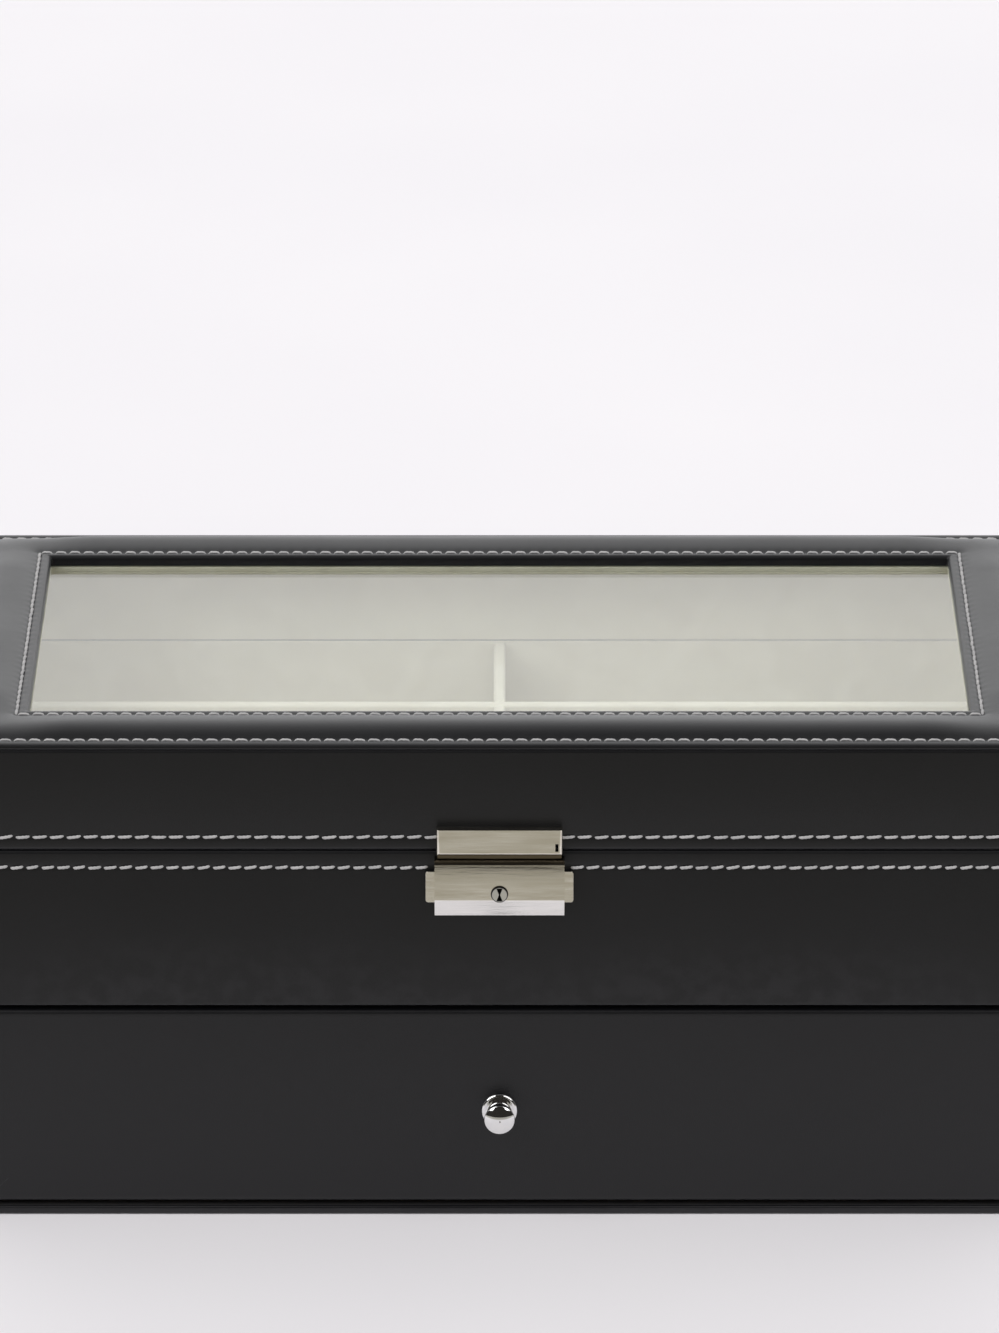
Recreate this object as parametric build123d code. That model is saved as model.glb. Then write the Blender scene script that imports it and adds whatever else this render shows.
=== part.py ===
"""A storage box for sunglasses: a lidded tray with a window above a drawer, wrapped in leatherette.

The origin is the centre of the underside. +X is to the right, +Y to the back, +Z up. Millimetres.
The lid, the drawer, the lock's slider and the key's cylinder move; all else stays with the case.
"""

from build123d import *

import math
import os

# Driving dimensions: the outside of the box
case_width = 360.0
case_depth = 206.0
case_height = 127.3  # underside to the split under the lid
lid_height = 34.3  # lid's lower edge to the seam round its top
lid_gap = 0.4  # between the case's rim and the lid
corner_round = 2.0

# Driving dimensions: materials by their thickness
leather = 0.8
board = 9.0
base_thickness = 2.2
shelf_thickness = 3.0
lining = 1.5
thin_lining = 0.8
divider = 4.0
drawer_board = 6.0
top_board = 3.0
glass = 2.0
turn_in = 15.0  # how far the leatherette is turned in under the base and into the drawer's opening

# Driving dimensions: the drawer
drawer_front_height = 67.2
drawer_front_low_gap = 1.8
drawer_front_top_gap = 1.6
drawer_side_gap = 1.0
drawer_back_gap = 1.2
drawer_run_gap = 0.4  # under the drawer's box
drawer_wall_height = 62.6
drawer_divider_drop = 2.0  # dividers stop this far under the drawer's walls
slot_gap = 0.15  # each side of a divider in the other's slot
divider_end_gap = 0.2

# Driving dimensions: the padded frame round the window, as distances from the outer edge and rises
# above the seam
seam_rise = 1.0
outer_stitch_inset = 4.8
outer_stitch_rise = 1.8
crown_inset = 13.0
crown_rise = 5.3
window_stitch_inset = 24.0
window_stitch_rise = 3.7
window_margin = 3.75  # window's edge inside the row of stitches
window_rise = 3.1
pane_overlap = 6.0
pane_gap = 0.3
retainer_lip = 0.8
retainer_gap = 0.3

# Driving dimensions: the knob
knob_height = 37.0
knob_reach = 10.2  # drawer's face to the knob's foremost point
knob_radius = 5.0
knob_foot_radius = 4.3
knob_dome = 8.0  # radius of its domed front
knob_round = 0.5  # between its side and its front
rosette_radius = 5.9
rosette_thickness = 1.4
rosette_round = 0.9
knob_screw_radius = 1.5
knob_screw_head_radius = 3.2
knob_screw_head = 1.8
washer_radius = 4.6
washer_thickness = 0.8
knob_thread = 6.0

# Driving dimensions: the hinges
hinge_margin = 70.0  # from the box's side to the middle of the hinge next to it
hinge_spacing = case_width - 2 * hinge_margin
hinge_width = 30.0
hinge_leaf_reach = 13.0
hinge_leaf = 1.0
hinge_standoff = 2.2  # back face to the pin's axis
knuckle_radius = 2.0
middle_knuckle = 11.4
knuckle_gap = 0.3
pin_radius = 1.0
stop_length = 5.0
stop_thickness = 1.0

# Driving dimensions: screws
screw_radius = 1.0
screw_head_radius = 1.9
screw_head = 0.9
screw_length = 8.0
hinge_screw_spacing = 18.0
hinge_screw_reach = 8.5  # pin's axis to a screw
cross_slot = 0.5  # depth of a head's cross
cross_span = 0.6  # the cross's reach as a share of the head's radius
hole_gap = 0.05
tip_gap = 1.0  # hole left beyond a screw's tip

# Driving dimensions: the lock
sheet = 0.8
hasp_width = 40.5
hasp_top = 8.4  # above the split
hasp_low = 0.8  # below the lid's lower edge
hasp_depth = 3.4
hasp_round = 1.0  # its front edges, but for the top one
slit_width = 1.0
slit_height = 2.6
slit_inset = 1.8  # hasp's right side to the slit's middle
slit_rise = 1.5  # hasp's lower edge to the slit
skirt_inset = 0.3  # hasp's side to the side of the skirt under it
skirt_gap = 0.15  # the skirt to the housing's top
tongue_back = 2.1  # box's front face to the back of skirt and tongue
tongue_width = 20.0
tongue_reach = 7.6  # below the hasp's lower edge
tongue_gap = 0.3
hasp_screw_spacing = 24.0
hasp_boss_radius = 1.8
housing_width = 41.8
housing_depth = 5.0
housing_foot_depth = 1.0
housing_drop = 1.7  # from the split to the housing's top
housing_height = 20.1
housing_face_height = 13.4  # upright part, above the sloping lip
housing_round = 1.6  # its top front edge
lip_round = 0.4
slider_width = 47.6
slider_height = 10.6
slider_drop = 4.7  # housing's top to the slider's top
slider_thickness = 0.9
slider_gap = 0.15
slider_travel = 2.5
key_drop = 11.2  # housing's top to the key's axis
key_radius = 2.75
key_front = 0.8  # how far the cylinder stands out of the housing
key_slot_reach = 2.2  # from the axis to either end of the keyhole
key_slot_end = 2.0  # its width there
key_slot_waist = 0.4
key_slot_depth = 1.6
key_flange_radius = 3.6
key_flange = 0.5
key_pivot_radius = 1.2
running_gap = 0.05
cam_reach = 4.0
cam_width = 4.0
cam_thickness = 0.5
lock_boss_radius = 1.5
lock_screw_spacing = 30.0
lock_screw_drop = 2.6  # housing's top to the screws
spring_strip = 0.3
spring_foot = 4.0
notch_x = 14.0  # from the middle to the far wall of the slider's notch for the spring
notch_width = 8.0
notch_height = 2.7

# Places worked out from the driving dimensions
half_width = case_width / 2
half_depth = case_depth / 2
board_x = half_width - leather  # outer face of the side boards
board_y = half_depth - leather
bay_x = board_x - board  # inner face of the side boards
bay_y = board_y - board
board_round = corner_round - leather

base_top = leather + base_thickness
drawer_front_low = base_top + drawer_front_low_gap
drawer_front_top = drawer_front_low + drawer_front_height
apron_low = drawer_front_top + drawer_front_top_gap
shelf_low = apron_low + leather
shelf_top = shelf_low + shelf_thickness
tray_floor = shelf_top + lining
board_top = case_height - leather
tray_x = bay_x - lining
tray_y = bay_y - lining

lid_low = case_height + lid_gap
seam = lid_low + lid_height
rail_low = lid_low + leather
rail_top = seam - top_board
window_inset = window_stitch_inset + window_margin
window_x = half_width - window_inset
window_y = half_depth - window_inset
pane_x = window_x + pane_overlap
pane_y = window_y + pane_overlap
glass_low = seam - glass
retainer_low = rail_top - retainer_lip

drawer_x = bay_x - leather - drawer_side_gap
drawer_inner_x = drawer_x - drawer_board
drawer_low = base_top + drawer_run_gap
drawer_back = bay_y - drawer_back_gap
drawer_inner_back = drawer_back - drawer_board
drawer_wall_top = drawer_low + drawer_wall_height
drawer_board_top = drawer_low + shelf_thickness
drawer_floor = drawer_board_top + lining
drawer_divider_top = drawer_wall_top - drawer_divider_drop
drawer_front_inside = -half_depth + leather + board

hinge_y = half_depth + hinge_standoff
hinge_z = case_height + lid_gap / 2
hinge_xs = (-hinge_spacing / 2, hinge_spacing / 2)

face_y = -half_depth  # front face of the case, lid and drawer
housing_top = case_height - housing_drop
housing_low = housing_top - housing_height
lip_top = housing_top - housing_face_height
slider_top = housing_top - slider_drop
slider_low = slider_top - slider_height
slider_back = sheet + slider_gap
slider_front = slider_back + slider_thickness
key_z = housing_top - key_drop
cam_back = slider_front + slider_gap
key_back = cam_back + cam_thickness
collar_back = key_back + key_flange + running_gap
lock_screw_z = housing_top - lock_screw_drop
hasp_bottom = lid_low - hasp_low
hasp_z = (rail_low + case_height + hasp_top) / 2
hasp_inside = hasp_depth - sheet
tongue_low = hasp_bottom - tongue_reach
tongue_front = tongue_back + sheet


def block(x, y, z):
    """A box between the low and high value given for each axis."""
    centre = Pos((x[0] + x[1]) / 2, (y[0] + y[1]) / 2, (z[0] + z[1]) / 2)
    return centre * Box(x[1] - x[0], y[1] - y[0], z[1] - z[0])


def upright(half_x, half_y, z, rounding):
    """A box about the Z axis with rounded upright edges."""
    whole = block((-half_x, half_x), (-half_y, half_y), z)
    return fillet(whole.edges().filter_by(Axis.Z), rounding)


def ahead(near, far):
    """The Y range between two distances in front of the box's front face."""
    return (face_y - far, face_y - near)


def rod_y(radius, x, z, y):
    """A round bar along Y."""
    return Pos(x, (y[0] + y[1]) / 2, z) * Rot(90, 0, 0) * Cylinder(radius, y[1] - y[0])


def rod_x(radius, x, y, z):
    """A round bar along X."""
    return Pos((x[0] + x[1]) / 2, y, z) * Rot(0, 90, 0) * Cylinder(radius, x[1] - x[0])


small_screw = (screw_radius, screw_head_radius, screw_head)


def screw(x, z, y_seat, length, sizes=small_screw):
    """A pan-head screw along Y: its head, seated at y_seat, faces the back."""
    shank, head_radius, head = sizes
    body = rod_y(head_radius, x, z, (y_seat, y_seat + head))
    body += rod_y(shank, x, z, (y_seat - length, y_seat))
    body = fillet(body.edges().filter_by(GeomType.CIRCLE).sort_by(Axis.Y)[-1], head / 2)
    cut_y = (y_seat + head - cross_slot, y_seat + head)
    arm = head_radius * cross_span
    half = arm / 4
    body -= block((x - arm, x + arm), cut_y, (z - half, z + half))
    return body - block((x - half, x + half), cut_y, (z - arm, z + arm))


def beyond_bay(side):
    """All that lies outside the bay's side wall, on the left (side -1) or right (side 1)."""
    return block(sorted((side * bay_x, side * half_width)), (-half_depth, half_depth), (0, seam))


# The case: boards


def base_board():
    return upright(board_x, board_y, (leather, base_top), board_round)


def side_board(side):
    """One side board, its outer upright edges rounded like the corners of the wrap."""
    whole = upright(board_x, board_y, (base_top, board_top), board_round)
    return whole & beyond_bay(side)


def back_board():
    plain = block((-bay_x, bay_x), (bay_y, board_y), (base_top, board_top))
    return plain - screw_holes(hinge_z - hinge_screw_reach)


def apron_board():
    """The fixed front wall above the drawer, bored for the lock's two screws."""
    plain = block((-bay_x, bay_x), (-board_y, -bay_y), (shelf_low, board_top))
    return plain - lock_screw_holes()


def shelf_board():
    return block((-bay_x, bay_x), (-bay_y, bay_y), (shelf_low, shelf_top))


# The case: wrap, felt and linings


def screw_holes(z):
    """The hinge screws' holes at height z, through wrap and board."""
    y = (half_depth - screw_length, half_depth + hinge_leaf)  # leaf, wrap and board
    xs = [x + side * hinge_screw_spacing / 2 for x in hinge_xs for side in (-1, 1)]
    return Part() + [rod_y(screw_radius + hole_gap, x, z, y) for x in xs]


def lock_screw_xs():
    return (-lock_screw_spacing / 2, lock_screw_spacing / 2)


def sunk_screw_holes(xs, z, tip):
    """Counterbored from inside the box, so that the heads lie flush under the lining."""
    inside = -leather - board
    holes = Part()
    for x in xs:
        holes += rod_y(screw_radius + hole_gap, x, z, ahead(inside, tip))
        holes += rod_y(screw_head_radius + hole_gap, x, z, ahead(inside, inside + screw_head))
    return holes


def lock_screw_holes():
    return sunk_screw_holes(lock_screw_xs(), lock_screw_z, sheet)


def case_cover():
    """The leatherette wrap: outside faces, rim, jambs of the drawer's opening and turned-in underside."""
    outer = upright(half_width, half_depth, (0, case_height), corner_round)
    wrap = outer - upright(board_x, board_y, (leather, board_top), board_round)
    wrap -= block((-bay_x, bay_x), (-bay_y, bay_y), (board_top, case_height))
    wrap -= felt_blank()
    wrap -= block((-bay_x, bay_x), (-half_depth, -board_y), (base_top, apron_low))
    jamb_y = (-half_depth, -half_depth + turn_in)
    for side in (-1, 1):
        wrap += block(sorted((side * (bay_x - leather), side * bay_x)), jamb_y, (base_top, apron_low))
    wrap += block((-bay_x, bay_x), (-half_depth, -bay_y), (apron_low, shelf_low))
    return wrap - screw_holes(hinge_z - hinge_screw_reach) - lock_screw_holes()


def felt_blank():
    """The felt fills the underside inside the turned-in leatherette."""
    felt_x = half_width - turn_in
    felt_y = half_depth - turn_in
    return block((-felt_x, felt_x), (-felt_y, felt_y), (0, leather))


def wall_lining(half_x, y, z):
    """Four lined cards standing inside a compartment, each a solid of its own."""
    sides = [block(sorted((s * (half_x - lining), s * half_x)), y, z) for s in (-1, 1)]
    inner = (lining - half_x, half_x - lining)
    ends = [block(inner, (y[0], y[0] + lining), z), block(inner, (y[1] - lining, y[1]), z)]
    return Compound(children=[part.solid() for part in sides + ends])


# Dividers: one runs front to back, two run across it, and each crossing is a half lap


def cross_ys(y):
    """The middles of the two cross dividers that part a depth into three equal rows."""
    row = (y[1] - y[0] - 2 * divider) / 3
    first = y[0] + row + divider / 2
    return (first, first + row + divider)


def long_divider(y, z):
    """Slotted from above down to half its height."""
    ends = (y[0] + divider_end_gap, y[1] - divider_end_gap)
    plate = block((-divider / 2, divider / 2), ends, z)
    half = divider / 2 + slot_gap
    for middle in cross_ys(y):
        plate -= block((-divider, divider), (middle - half, middle + half), ((z[0] + z[1]) / 2, z[1]))
    return plate


def cross_divider(middle, half_x, z):
    """Slotted from below up to half its height."""
    ends = (divider_end_gap - half_x, half_x - divider_end_gap)
    plate = block(ends, (middle - divider / 2, middle + divider / 2), z)
    half = divider / 2 + slot_gap
    return plate - block((-half, half), (middle - divider, middle + divider), (z[0], (z[0] + z[1]) / 2))


# The lid


def lid_side_rail(side):
    whole = upright(board_x, board_y, (rail_low, rail_top), board_round)
    return whole & beyond_bay(side)


def lid_back_rail():
    plain = block((-bay_x, bay_x), (bay_y, board_y), (rail_low, rail_top))
    return plain - screw_holes(hinge_z + hinge_screw_reach)


def hasp_screw_xs():
    return (-hasp_screw_spacing / 2, hasp_screw_spacing / 2)


def hasp_screw_holes():
    return sunk_screw_holes(hasp_screw_xs(), hasp_z, hasp_inside)


def lid_front_rail():
    return block((-bay_x, bay_x), (-board_y, -bay_y), (rail_low, rail_top)) - hasp_screw_holes()


def lid_top_board():
    """Carries the padding, with an opening that the pane drops into."""
    plain = upright(board_x, board_y, (rail_top, seam), board_round)
    hole_x = pane_x + pane_gap
    hole_y = pane_y + pane_gap
    return plain - block((-hole_x, hole_x), (-hole_y, hole_y), (rail_top, seam))


def window_pane():
    return block((-pane_x, pane_x), (-pane_y, pane_y), (glass_low, seam))


def window_retainer():
    """A frame glued under the top board, stepped up into its opening to carry the pane."""
    edge_x = bay_x - retainer_gap
    edge_y = bay_y - retainer_gap
    frame = block((-edge_x, edge_x), (-edge_y, edge_y), (retainer_low, rail_top))
    frame += block((-pane_x, pane_x), (-pane_y, pane_y), (rail_top, glass_low))
    return frame - block((-window_x, window_x), (-window_y, window_y), (retainer_low, glass_low))


def lid_lining():
    """Lines the rails and the retainer's underside, up to the window."""
    lined = block((-bay_x, bay_x), (-bay_y, bay_y), (lid_low, retainer_low))
    inner_x = bay_x - thin_lining
    inner_y = bay_y - thin_lining
    lined -= block((-inner_x, inner_x), (-inner_y, inner_y), (lid_low, retainer_low - thin_lining))
    return lined - block((-window_x, window_x), (-window_y, window_y), (lid_low, retainer_low))


def tapered(inset_low, z_low, inset_high, z_high):
    """A block whose four sides lean from one inset of the box's outline to another."""
    foot = Pos(0, 0, z_low) * Rectangle(case_width - 2 * inset_low, case_depth - 2 * inset_low)
    lean = math.degrees(math.atan((inset_high - inset_low) / (z_high - z_low)))
    return extrude(foot, amount=z_high - z_low, taper=lean)


def padded_frame(skin):
    """The frame's crowned outline, taken in by a skin all round, standing on the seam."""
    outer = [
        (skin, seam),
        (skin, seam + seam_rise - skin),
        (outer_stitch_inset, seam + outer_stitch_rise - skin),
        (crown_inset, seam + crown_rise - skin),
    ]
    inner = [
        (window_inset - skin, seam),
        (window_inset - skin, seam + window_rise - skin),
        (window_stitch_inset, seam + window_stitch_rise - skin),
        (crown_inset, seam + crown_rise - skin),
    ]
    frame = Part() + [tapered(*low, *high) for low, high in zip(outer, outer[1:])]
    for low, high in zip(inner, inner[1:]):
        frame -= tapered(*low, *high)
    rounding = corner_round - skin
    return frame & upright(half_width - skin, half_depth - skin, (seam, seam + crown_rise), rounding)


def lid_side_cover():
    """The strip of leatherette round the lid's sides, turned in under its lower edge."""
    wrap = upright(half_width, half_depth, (lid_low, seam), corner_round)
    wrap -= upright(board_x, board_y, (rail_low, seam), board_round)
    wrap -= block((-bay_x, bay_x), (-bay_y, bay_y), (lid_low, rail_low))
    return wrap - screw_holes(hinge_z + hinge_screw_reach) - hasp_screw_holes()


# The hinges: two knuckles on the case's leaf, one on the lid's, and a pin. A tail on the lid's
# knuckle swings down to the case's leaf and stops the open lid.


def knuckle_ranges(x):
    """The X ranges of the two outer knuckles and the middle one."""
    half = hinge_width / 2
    inner = middle_knuckle / 2
    outer = inner + knuckle_gap
    return ((x - half, x - outer), (x + outer, x + half)), (x - inner, x + inner)


def bored(leaf, x):
    hole = rod_x(pin_radius + hole_gap, (x - hinge_width, x + hinge_width), hinge_y, hinge_z)
    return leaf - hole


def leaf_plate(x, way):
    """The flat of a leaf, from the pin's axis up (way 1) or down (way -1), with its screw holes."""
    z = sorted((hinge_z, hinge_z + way * hinge_leaf_reach))
    plate = block((x - hinge_width / 2, x + hinge_width / 2), (half_depth, half_depth + hinge_leaf), z)
    return plate - screw_holes(hinge_z + way * hinge_screw_reach)


def clear_of_knuckle(x_range, way):
    """What a leaf's flat leaves free beside the other leaf's knuckle."""
    reach = knuckle_radius + knuckle_gap
    z = sorted((hinge_z - way * reach, hinge_z + way * reach))
    x = (x_range[0] - knuckle_gap, x_range[1] + knuckle_gap)
    return block(x, (half_depth, half_depth + hinge_leaf), z)


def hinge_case_leaf(x):
    outer, middle = knuckle_ranges(x)
    leaf = leaf_plate(x, -1) - clear_of_knuckle(middle, -1)
    leaf += [rod_x(knuckle_radius, span, hinge_y, hinge_z) for span in outer]
    return bored(leaf, x)


def hinge_lid_leaf(x):
    outer, middle = knuckle_ranges(x)
    leaf = leaf_plate(x, 1)
    for span in outer:
        leaf -= clear_of_knuckle(span, 1)
    leaf += rod_x(knuckle_radius, middle, hinge_y, hinge_z)
    tail_z = (hinge_z - stop_thickness / 2, hinge_z + stop_thickness / 2)
    leaf += block(middle, (hinge_y, hinge_y + stop_length), tail_z)
    return bored(leaf, x)


def hinge_pin(x):
    return rod_x(pin_radius, (x - hinge_width / 2, x + hinge_width / 2), hinge_y, hinge_z)


def hinge_screws(way):
    """Four screws, two to a leaf, on the case (way -1) or the lid (way 1)."""
    z = hinge_z + way * hinge_screw_reach
    xs = [x + side * hinge_screw_spacing / 2 for x in hinge_xs for side in (-1, 1)]
    length = screw_length + hinge_leaf - tip_gap
    return Compound(children=[screw(x, z, half_depth + hinge_leaf, length).solid() for x in xs])


# The lock: a hasp on the lid, and a housing on the apron that holds the slider and the key's cylinder


def hasp_plate():
    """A shallow tray of sheet metal, open to the lid, with a skirt under it that narrows to the tongue."""
    half = hasp_width / 2
    inner = half - sheet
    top = case_height + hasp_top
    plate = block((-half, half), ahead(0, hasp_depth), (hasp_bottom, top))
    plate -= block((-inner, inner), ahead(0, hasp_inside), (hasp_bottom + sheet, top - sheet))
    plate -= block((-half, half), ahead(0, tongue_gap), (hasp_bottom, lid_low))
    plate = fillet(plate.edges().group_by(Axis.Y)[0].sort_by(Axis.Z)[:-1], hasp_round)
    for x in hasp_screw_xs():
        plate += rod_y(hasp_boss_radius, x, hasp_z, ahead(0, hasp_inside))
    plate -= hasp_screw_holes()
    slit = half - slit_inset
    slit_x = (slit - slit_width / 2, slit + slit_width / 2)
    slit_z = hasp_bottom + slit_rise
    plate -= block(slit_x, ahead(hasp_inside, hasp_depth), (slit_z, slit_z + slit_height))
    y = ahead(tongue_back, tongue_front)
    skirt = half - skirt_inset
    plate += block((-skirt, skirt), y, (housing_top + skirt_gap, hasp_bottom + sheet))
    tongue = tongue_width / 2
    return plate + block((-tongue, tongue), y, (tongue_low, hasp_bottom + sheet))


def sunk_screws(xs, z, tip):
    """Screws driven outward from inside the box, heads sunk in the board, tips ahead of its face."""
    seat = -bay_y - screw_head
    length = leather + board - screw_head + tip
    return Compound(children=[screw(x, z, seat, length).solid() for x in xs])


def lip_height(ahead_by, wall):
    """Where the lip's sloping face, taken in by a wall, is a distance ahead of the front face."""
    lean = (housing_depth - housing_foot_depth) / (lip_top - housing_low)
    return housing_low + (ahead_by - housing_foot_depth + wall * math.hypot(1, lean)) / lean


def lip_ahead(z, wall):
    """How far ahead of the front face the lip's sloping face, taken in by a wall, is at a height."""
    lean = (housing_depth - housing_foot_depth) / (lip_top - housing_low)
    return housing_foot_depth - wall * math.hypot(1, lean) + (z - housing_low) * lean


def housing_outline(wall):
    """The housing's side view as distance ahead of the front face and height, taken in by a wall."""
    front = housing_depth - wall
    low = housing_low + wall
    top = housing_top - wall
    return [(0, low), (lip_ahead(low, wall), low), (front, lip_height(front, wall)), (front, top), (0, top)]


def housing_shape(wall):
    """The housing's outside, or its hollow when taken in by a wall, with its top front edge rounded."""
    outline = Polyline(*[(0, face_y - ahead_by, z) for ahead_by, z in housing_outline(wall)], close=True)
    shape = extrude(make_face(outline), amount=housing_width / 2 - wall, both=True, dir=(1, 0, 0))
    return fillet(long_front_edges(shape)[-1], housing_round - wall)


def long_front_edges(shape):
    """The foremost edges that run from side to side, from the lowest up."""
    return shape.edges().filter_by(Axis.X).group_by(Axis.Y)[0].sort_by(Axis.Z)


def lock_housing():
    half = housing_width / 2
    shell = housing_shape(0.0)
    shell = fillet(long_front_edges(shell)[0], lip_round) - housing_shape(sheet)
    ear_z = (slider_low - slider_gap, slider_top + slider_gap)
    shell -= block((-half, half), ahead(0, slider_front + slider_gap), ear_z)
    slot = tongue_width / 2 + tongue_gap
    slot_y = ahead(tongue_back - tongue_gap, tongue_front + tongue_gap)
    shell -= block((-slot, slot), slot_y, (housing_top - sheet, housing_top))
    inner_face = housing_depth - sheet
    shell += rod_y(key_flange_radius, 0, key_z, ahead(collar_back, inner_face))
    shell -= rod_y(key_radius + running_gap, 0, key_z, ahead(collar_back, housing_depth))
    for x in lock_screw_xs():
        shell += rod_y(lock_boss_radius, x, lock_screw_z, ahead(sheet, inner_face))
        shell -= rod_y(screw_radius + hole_gap, x, lock_screw_z, ahead(sheet, inner_face))
    return shell


def lock_back_plate():
    """Lies on the wrap inside the housing; the screws clamp it and the cylinder's pivot turns in it."""
    half = housing_width / 2 - sheet - slider_gap
    z = (lip_height(sheet + slider_gap, sheet), housing_top - sheet - slider_gap)
    plate = block((-half, half), ahead(0, sheet), z)
    return plate - lock_screw_holes() - rod_y(key_pivot_radius + running_gap, 0, key_z, ahead(0, sheet))


def lock_spring():
    """A bent strip that sends the slider home, drawn as the slider's full travel bends it."""
    blade = -notch_x + slider_travel + tongue_gap
    z = (slider_low, slider_low + notch_height - tongue_gap)
    foot = block((blade, blade + spring_foot), ahead(sheet, sheet + spring_strip), z)
    return foot + block((blade, blade + spring_strip), ahead(sheet, slider_front), z)


def lock_slider():
    """The plate whose two ends are the ears; pushed to the right, it lets the tongue go."""
    half = slider_width / 2
    plate = block((-half, half), ahead(slider_back, slider_front), (slider_low, slider_top))
    plate = fillet(plate.edges().filter_by(Axis.Y), slider_thickness)
    slot = key_pivot_radius + tongue_gap
    y = ahead(slider_back, slider_front)
    plate -= block((-slot - slider_travel, slot), y, (key_z - slot, key_z + slot))
    return plate - block((-notch_x, notch_width - notch_x), y, (slider_low, slider_low + notch_height))


def key_cylinder():
    """Barrel with a waisted keyhole, flange behind the housing's face, square for the cam, and pivot."""
    front = housing_depth + key_front
    barrel = rod_y(key_radius, 0, key_z, ahead(key_back, front))
    barrel = fillet(barrel.edges().filter_by(GeomType.CIRCLE).sort_by(Axis.Y)[0], key_front / 2)
    right = [(key_slot_end / 2, key_slot_reach), (key_slot_waist / 2, 0), (key_slot_end / 2, -key_slot_reach)]
    left = [(-x, -z) for x, z in right]
    corners = [(x, face_y - front, key_z + z) for x, z in right + left]
    keyhole = extrude(make_face(Polyline(*corners, close=True)), amount=key_slot_depth, dir=(0, 1, 0))
    body = barrel - keyhole
    body += rod_y(key_flange_radius, 0, key_z, ahead(key_back, key_back + key_flange))
    square = key_pivot_radius
    body += block((-square, square), ahead(cam_back, key_back), (key_z - square, key_z + square))
    return body + rod_y(key_pivot_radius, 0, key_z, ahead(running_gap, cam_back))


def lock_cam():
    """A lever on the cylinder's square."""
    half = cam_width / 2
    arm = block((-half, cam_reach), ahead(cam_back, key_back), (key_z - half, key_z + half))
    arm = fillet(arm.edges().filter_by(Axis.Y), half / 2)
    square = key_pivot_radius
    return arm - block((-square, square), ahead(cam_back, key_back), (key_z - square, key_z + square))


# The drawer


def drawer_front_board():
    inner_x = drawer_x - leather
    z = (drawer_front_low + leather, drawer_front_top - leather)
    plain = block((-inner_x, inner_x), (-board_y, drawer_front_inside), z)
    return plain - knob_hole()


def drawer_front_cover():
    z = (drawer_front_low, drawer_front_top)
    wrap = block((-drawer_x, drawer_x), (-half_depth, drawer_front_inside), z)
    wrap = fillet(wrap.edges().group_by(Axis.Y)[0], leather)
    inner_x = drawer_x - leather
    wrap -= block((-inner_x, inner_x), (-board_y, drawer_front_inside), (z[0] + leather, z[1] - leather))
    return wrap - knob_hole()


def drawer_side(side):
    x = sorted((side * drawer_inner_x, side * drawer_x))
    return block(x, (drawer_front_inside, drawer_back), (drawer_low, drawer_wall_top))


def drawer_back_wall():
    x = (-drawer_inner_x, drawer_inner_x)
    return block(x, (drawer_inner_back, drawer_back), (drawer_low, drawer_wall_top))


def drawer_bottom():
    x = (-drawer_inner_x, drawer_inner_x)
    return block(x, (drawer_front_inside, drawer_inner_back), (drawer_low, drawer_board_top))


def drawer_floor_lining():
    x = (-drawer_inner_x, drawer_inner_x)
    return block(x, (drawer_front_inside, drawer_inner_back), (drawer_board_top, drawer_floor))


def knob_hole():
    """Through the drawer's front, with room for the washer and the screw's head inside."""
    through = rod_y(knob_screw_radius + hole_gap, 0, knob_height, (-half_depth, drawer_front_inside))
    seat = washer_thickness + knob_screw_head
    sunk = rod_y(washer_radius + hole_gap, 0, knob_height, (drawer_front_inside - seat, drawer_front_inside))
    return through + sunk


def knob():
    """A stub that widens from the rosette to a domed front, tapped from behind."""

    def at(ahead_by, radius):
        return (0, face_y - ahead_by, knob_height + radius)

    dome_centre = knob_reach - knob_dome
    rim_angle = math.asin(knob_radius / knob_dome)
    rim = at(dome_centre + knob_dome * math.cos(rim_angle), knob_radius)
    middle = at(dome_centre + knob_dome * math.cos(rim_angle / 2), knob_dome * math.sin(rim_angle / 2))
    side = Polyline(at(knob_reach, 0), at(rosette_thickness, 0), at(rosette_thickness, knob_foot_radius), rim)
    profile = make_face([side, ThreePointArc(rim, middle, at(knob_reach, 0))])
    profile = fillet(profile.vertices().sort_by(Axis.Z)[-1], knob_round)
    stub = revolve(profile, Axis((0, 0, knob_height), (0, 1, 0)))
    return stub - rod_y(knob_screw_radius + hole_gap, 0, knob_height, ahead(0, rosette_thickness + knob_thread))


def knob_rosette():
    disc = rod_y(rosette_radius, 0, knob_height, ahead(0, rosette_thickness))
    disc = fillet(disc.edges().filter_by(GeomType.CIRCLE).sort_by(Axis.Y)[0], rosette_round)
    return disc - rod_y(knob_screw_radius + hole_gap, 0, knob_height, ahead(0, rosette_thickness))


def knob_washer():
    seat = drawer_front_inside - knob_screw_head
    ring = rod_y(washer_radius, 0, knob_height, (seat - washer_thickness, seat))
    return ring - rod_y(knob_screw_radius + hole_gap, 0, knob_height, (seat - washer_thickness, seat))


def knob_screw():
    seat = drawer_front_inside - knob_screw_head
    length = seat - face_y + rosette_thickness + knob_thread - tip_gap
    sizes = (knob_screw_radius, knob_screw_head_radius, knob_screw_head)
    return screw(0, knob_height, seat, length, sizes)


tray_rows = (-tray_y, tray_y)
tray_walls = (tray_floor, case_height)
drawer_inside = (drawer_front_inside, drawer_inner_back)
drawer_rows = (drawer_front_inside + lining, drawer_inner_back - lining)
drawer_walls = (drawer_floor, drawer_divider_top)
drawer_row_x = drawer_inner_x - lining
tray_front_y, tray_rear_y = cross_ys(tray_rows)
drawer_front_y, drawer_rear_y = cross_ys(drawer_rows)

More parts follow.
